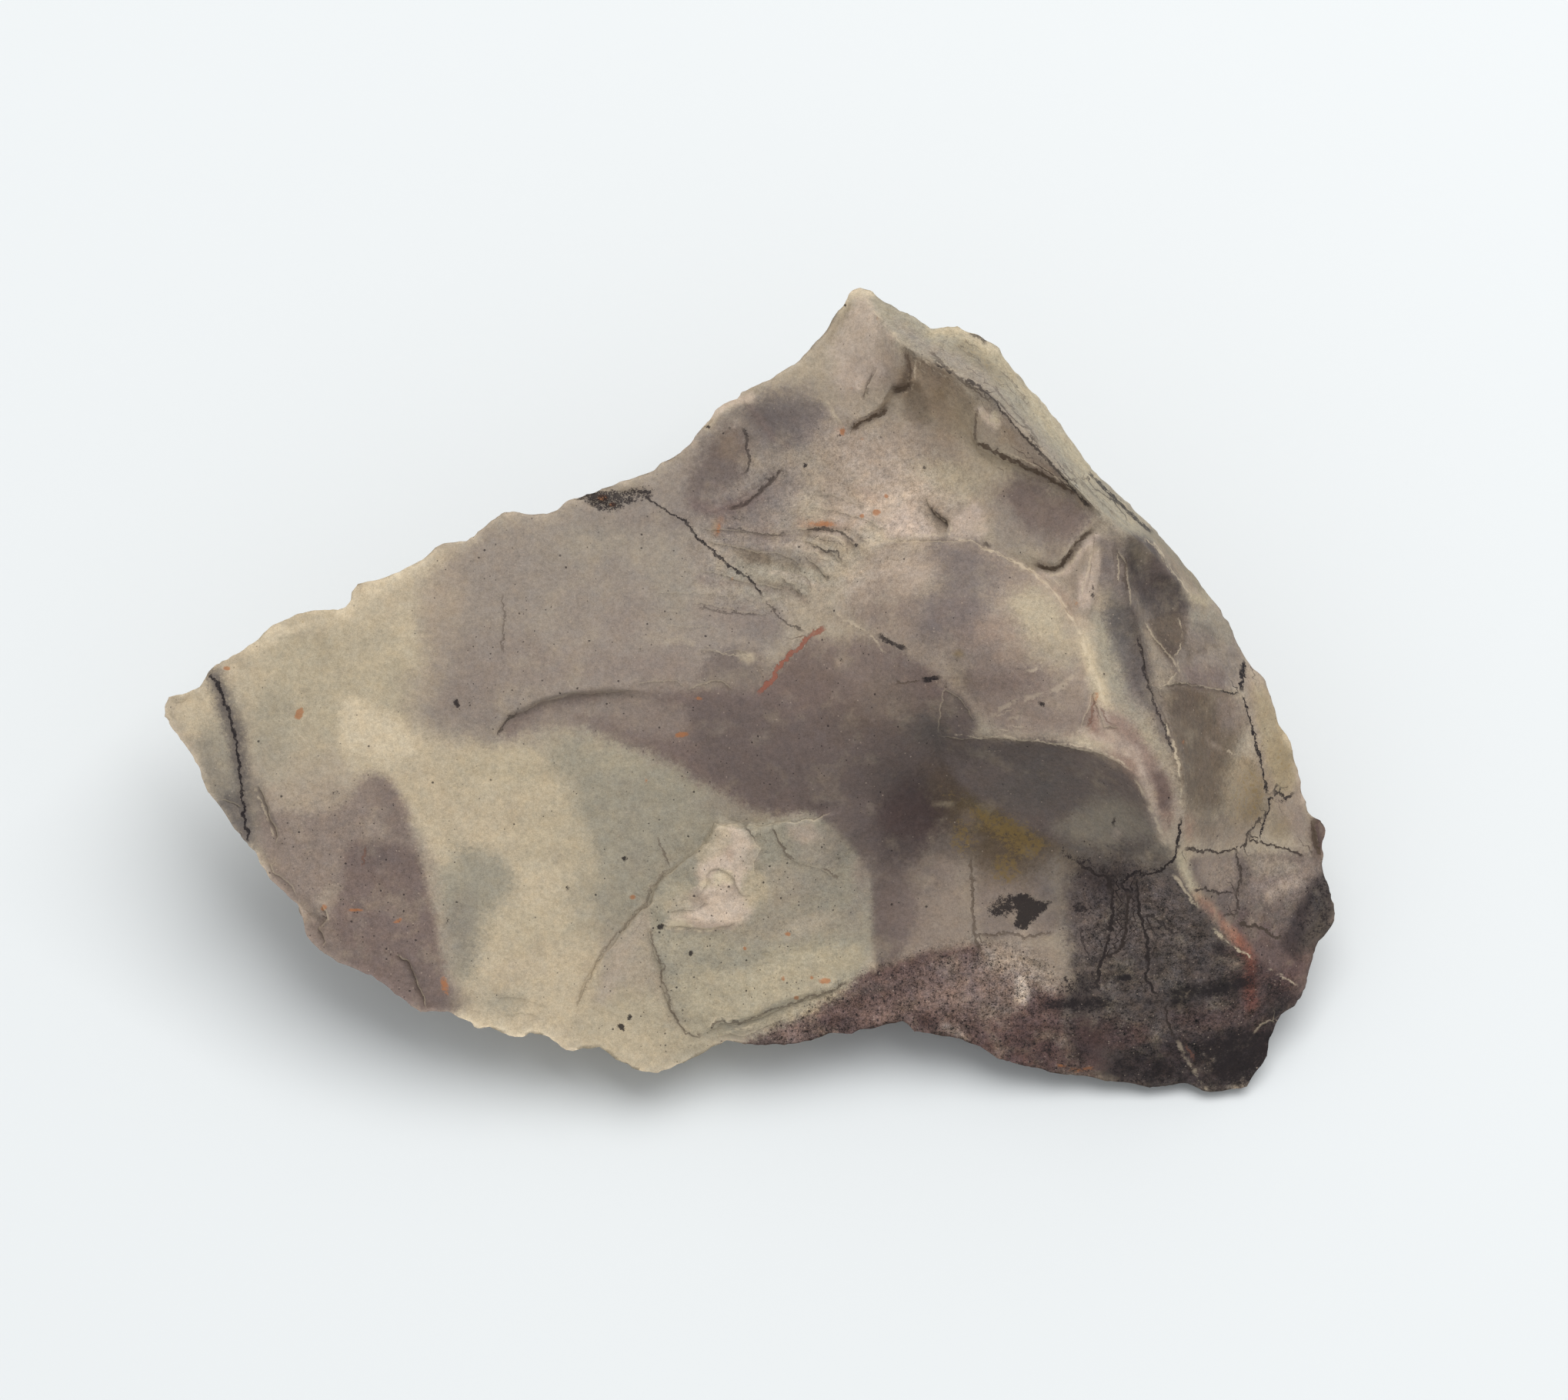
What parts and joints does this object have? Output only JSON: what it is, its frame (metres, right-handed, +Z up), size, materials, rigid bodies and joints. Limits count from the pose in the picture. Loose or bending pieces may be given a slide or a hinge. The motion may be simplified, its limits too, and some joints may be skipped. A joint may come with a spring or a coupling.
{
  "type": "porcelain jasper",
  "caption": "Rough of porcelain jasper with a broad struck face, sharp crests and thin edges, resting on a small flat spot.",
  "frame": {"origin": "centre of the bounding box, at the height of the flat spot that the stone rests on", "axes": "+X along the stone's length, from the thin left wing to the thick right end; +Z up; the broad face leans towards -Y"},
  "size_m": [0.092, 0.0548, 0.0369],
  "materials": {
    "jasper": "smooth dull fracture, waxy on the sharp edges"
  },
  "bodies": {
    "root": {"jasper_rough": "jasper"}
  },
  "joints": []
}
